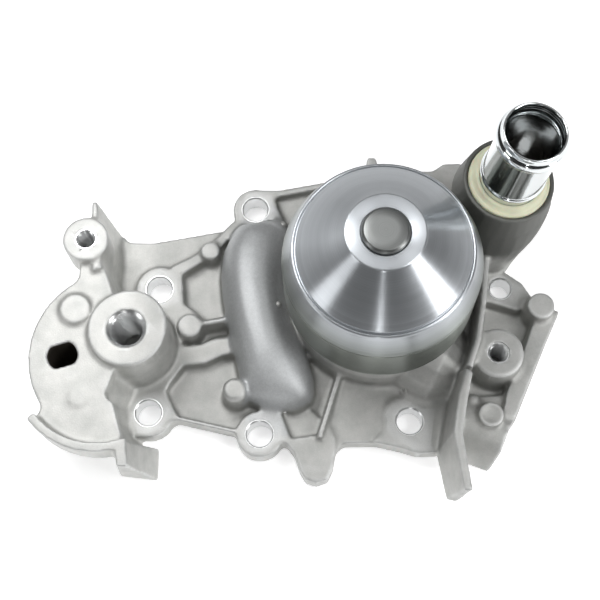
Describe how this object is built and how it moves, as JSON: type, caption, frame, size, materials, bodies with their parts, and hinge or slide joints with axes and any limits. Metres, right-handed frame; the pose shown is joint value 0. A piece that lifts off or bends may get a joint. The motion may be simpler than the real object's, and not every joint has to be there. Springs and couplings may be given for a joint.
{
  "type": "water pump",
  "caption": "Engine coolant pump: cast housing with a bolt flange, a tensioner plate and a hose tube, and a smooth belt pulley and an impeller on one shaft.",
  "frame": {"origin": "where the pump's axis meets the flange's mounting face, in the middle of the impeller's opening", "axes": "+Z along the pump's axis towards the pulley, +X towards the hose neck's side, and the tensioner plate on the -X side"},
  "size_m": [0.1718, 0.1199, 0.0765],
  "materials": {
    "cast_aluminium": "die cast and blasted, with machined faces",
    "turned_aluminium": "turned, satin",
    "turned_steel": "turned and ground",
    "bearing_steel": "ground and polished",
    "plated_steel": "zinc plated, bright",
    "cage_brass": "stamped",
    "black_rubber": "moulded, matt",
    "carbon": "lapped",
    "white_ceramic": "lapped",
    "stainless_sheet": "pressed, satin",
    "moulded_resin": "moulded",
    "gasket_sheet": "coated fibre",
    "cream_seal": "moulded, matt"
  },
  "bodies": {
    "pump_body": {"housing": "cast_aluminium", "bearing_outer_ring": "bearing_steel", "front_bearing_seal": "black_rubber", "rear_bearing_seal": "black_rubber", "seal_case": "stainless_sheet", "seal_bellows": "black_rubber", "seal_spring": "stainless_sheet", "seal_drive_band": "stainless_sheet", "carbon_face": "carbon", "gasket": "gasket_sheet", "outlet_tube": "plated_steel", "tube_seal": "cream_seal"},
    "rotor": {"pulley": "turned_aluminium", "shaft": "turned_steel", "impeller_hub": "turned_steel", "impeller": "moulded_resin", "seat_cup": "black_rubber", "mating_ring": "white_ceramic"},
    "ball_row": {"front_balls": "bearing_steel", "front_cage": "cage_brass"},
    "roller_row": {"rear_rollers": "bearing_steel", "rear_cage": "cage_brass"}
  },
  "joints": [
    {"name": "rotor_spin", "type": "hinge", "parent": "pump_body", "child": "rotor", "pos_m": [0, 0, 0], "axis": [0, 0, 1], "continuous": true},
    {"name": "ball_row_spin", "type": "hinge", "parent": "pump_body", "child": "ball_row", "pos_m": [0, 0, 0.0405], "axis": [0, 0, 1], "continuous": true},
    {"name": "roller_row_spin", "type": "hinge", "parent": "pump_body", "child": "roller_row", "pos_m": [0, 0, 0.0285], "axis": [0, 0, 1], "continuous": true}
  ],
  "couplings": [
    {"joint": "ball_row_spin", "follows": "rotor_spin", "ratio": 0.359},
    {"joint": "roller_row_spin", "follows": "rotor_spin", "ratio": 0.3744}
  ]
}
